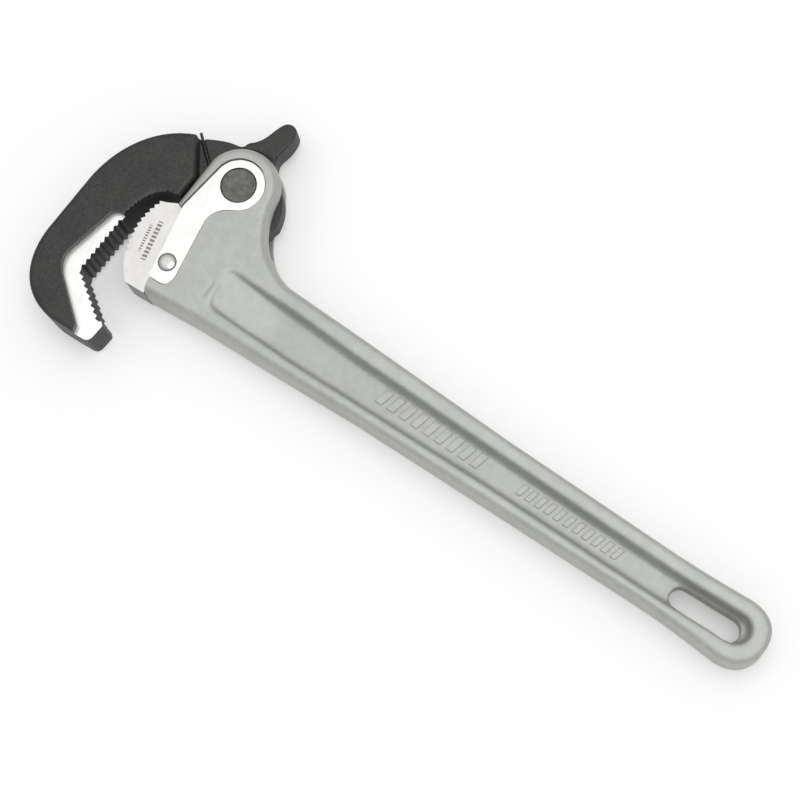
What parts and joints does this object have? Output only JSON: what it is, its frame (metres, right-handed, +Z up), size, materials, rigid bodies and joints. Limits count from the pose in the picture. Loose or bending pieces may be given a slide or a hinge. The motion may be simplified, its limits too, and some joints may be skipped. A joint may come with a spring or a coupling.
{
  "type": "pipe wrench",
  "caption": "One-hand pipe wrench with a cast I-section handle, a fixed toothed heel jaw and a sprung hook jaw that swings open on a pivot pin.",
  "frame": {"origin": "centre of the pivot pin's lower end circle, dropped 1.0 mm along the pivot axis to the plane the wrench lies on; the pivot axis is the Z axis", "axes": "+X along the handle from the pivot towards the hang slot, +Y from the heel jaw side towards the thumb tab, +Z up out of the side of the wrench, along the pivot axis"},
  "size_m": [0.3601, 0.133, 0.0267],
  "materials": {
    "cast_body": "sand-cast, lightly tumbled",
    "ground_jaw": "ground sides",
    "plate_steel": "bright, fine ground",
    "pin_steel": "dark, turned ends",
    "rivet_steel": "polished domes",
    "forged_jaw": "black oxide forging with milled bright sides at the teeth",
    "spring_steel": "oil-hardened wire"
  },
  "bodies": {
    "handle": {"handle": "cast_body", "heel_jaw": "ground_jaw", "side_plate_top": "plate_steel", "side_plate_bottom": "plate_steel", "pivot_pin": "pin_steel", "heel_rivet": "rivet_steel"},
    "hook": {"hook_jaw": "forged_jaw", "torsion_spring": "spring_steel"}
  },
  "joints": [
    {"name": "hook_pivot", "type": "hinge", "parent": "handle", "child": "hook", "pos_m": [0, 0, 0.0133], "axis": [0, 0, -1], "range_deg": [0, 55], "stiffness_Nm_per_rad": 0.3, "springref_deg": -45.84, "deforming": ["torsion_spring"]}
  ]
}
